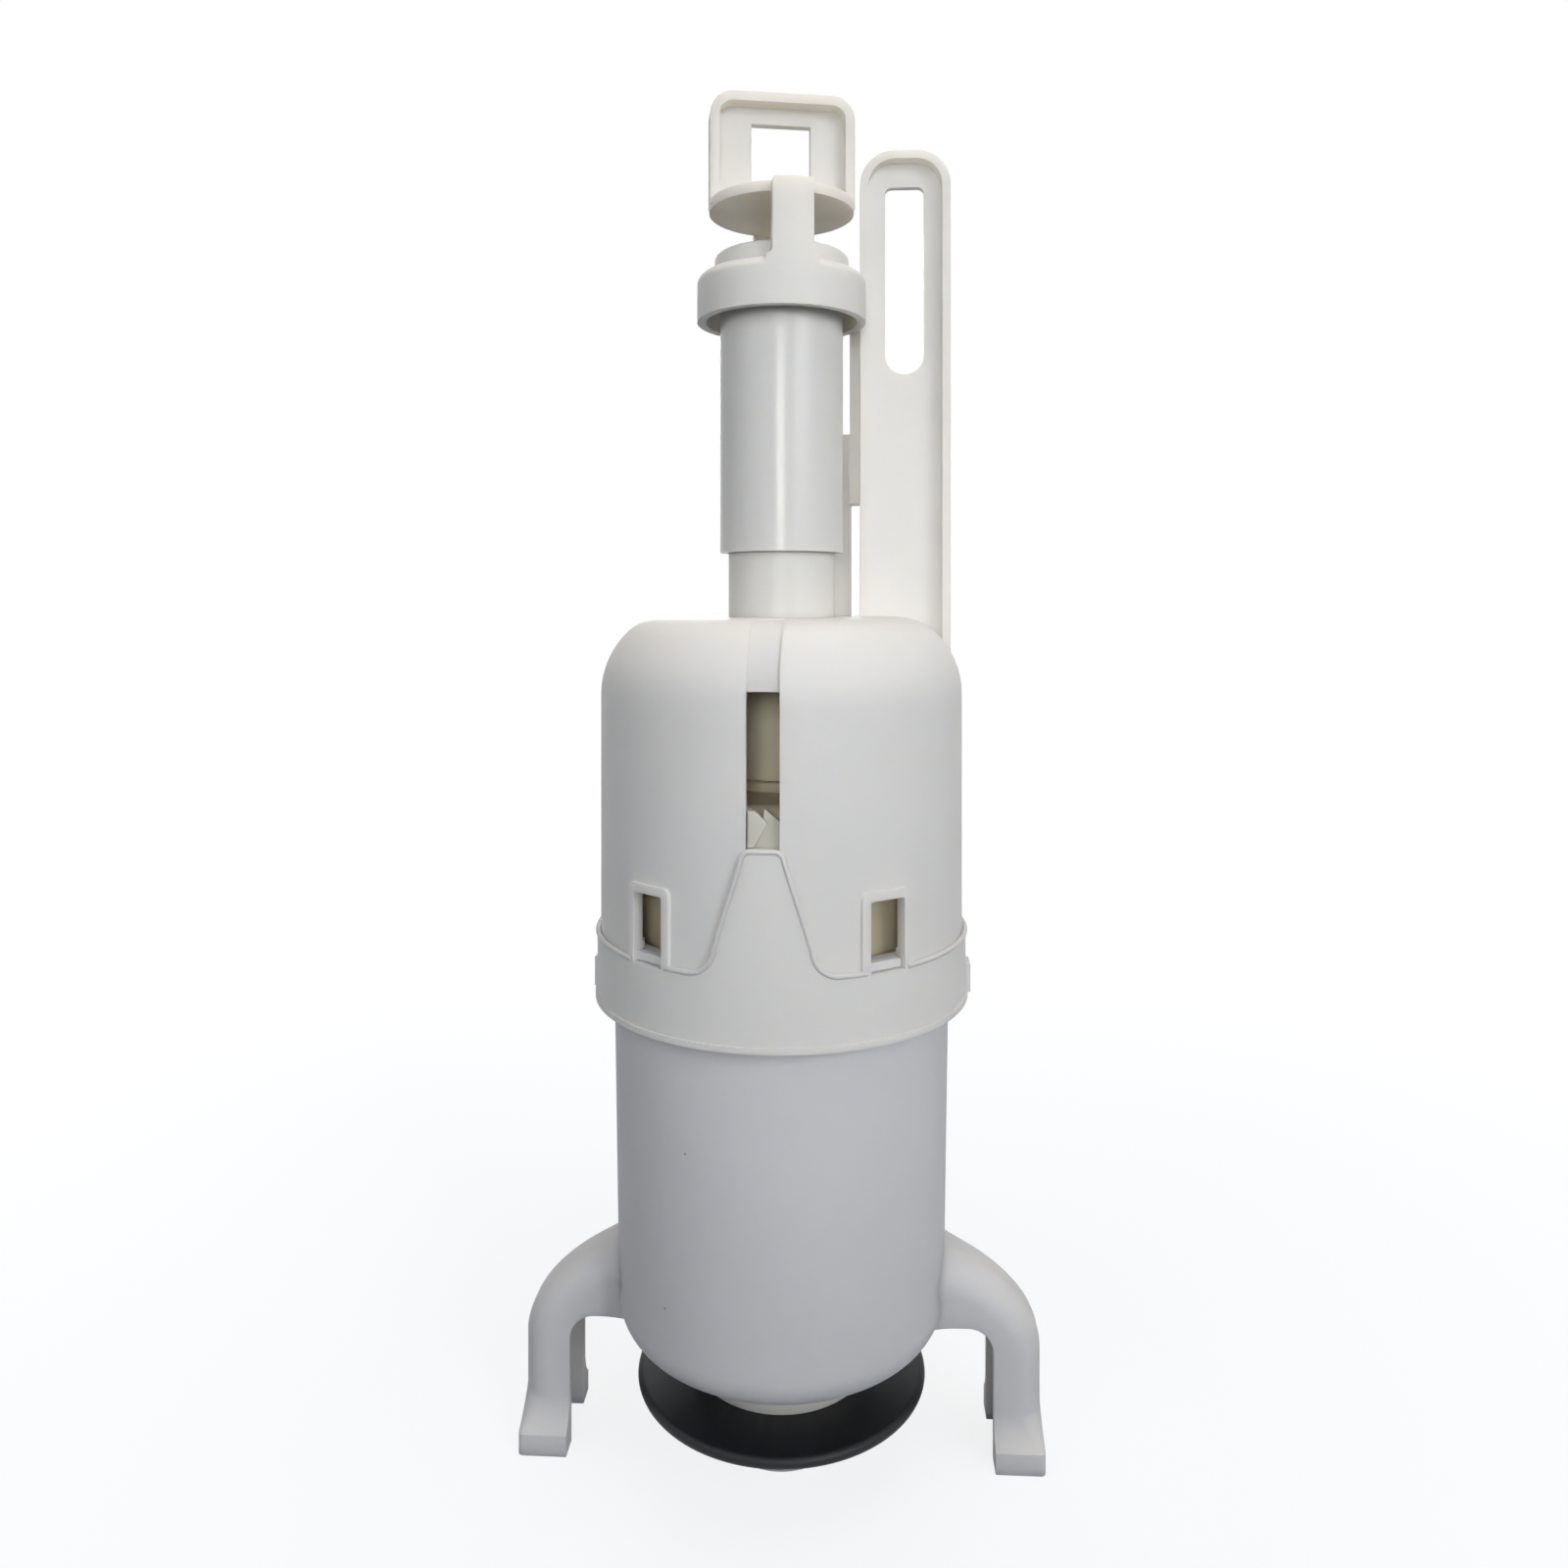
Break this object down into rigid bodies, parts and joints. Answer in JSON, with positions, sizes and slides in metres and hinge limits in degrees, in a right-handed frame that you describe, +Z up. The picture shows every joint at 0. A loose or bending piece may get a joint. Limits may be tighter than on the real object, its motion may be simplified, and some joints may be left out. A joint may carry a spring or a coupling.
{
  "type": "toilet flush valve",
  "caption": "Cistern flush valve: cup and cap housing on legs, sliding overflow riser with float and rubber seal, telescopic sleeve, turning lift loop and slotted lever bracket.",
  "frame": {"origin": "on the riser's axis, level with the soles of the feet", "axes": "+Z up along the riser, front slot towards -Y, legs along X, lever bracket on the +X side"},
  "size_m": [0.1156, 0.0834, 0.3022],
  "materials": {
    "cup_plastic": "moulded polypropylene, satin, faintly blue white",
    "cap_plastic": "moulded ABS, satin, warm white",
    "head_plastic": "moulded ABS, satin white",
    "sleeve_plastic": "extruded tube, glossy white",
    "tube_plastic": "extruded tube, white",
    "slider_plastic": "moulded acetal, white",
    "inner_plastic": "moulded polypropylene, white",
    "seal_rubber": "black moulded rubber, matt",
    "clip_steel": "spring steel strip"
  },
  "bodies": {
    "housing": {"lower_cup": "cup_plastic", "upper_cap": "cap_plastic"},
    "riser": {"riser_tube": "tube_plastic", "seal_washer": "seal_rubber", "clamp_washer": "inner_plastic", "seal_nut": "inner_plastic", "float_bell": "inner_plastic", "float_lid": "inner_plastic", "float_clip": "inner_plastic", "sleeve_ring": "seal_rubber"},
    "sleeve": {"extension_sleeve": "sleeve_plastic", "head_clip": "clip_steel"},
    "head": {"pull_head": "head_plastic"},
    "adjuster": {"volume_slider": "slider_plastic", "volume_shutter": "slider_plastic"}
  },
  "joints": [
    {"name": "riser_lift", "type": "slide", "parent": "housing", "child": "riser", "axis": [0, 0, 1], "range_m": [-0.013, 0]},
    {"name": "sleeve_extend", "type": "slide", "parent": "riser", "child": "sleeve", "axis": [0, 0, 1], "range_m": [0, 0.025]},
    {"name": "head_swivel", "type": "hinge", "parent": "sleeve", "child": "head", "pos_m": [0, 0, 0.2606], "axis": [0, 0, 1], "continuous": true},
    {"name": "volume_slide", "type": "slide", "parent": "housing", "child": "adjuster", "axis": [0, 0, 1], "range_m": [0, 0.02]}
  ]
}
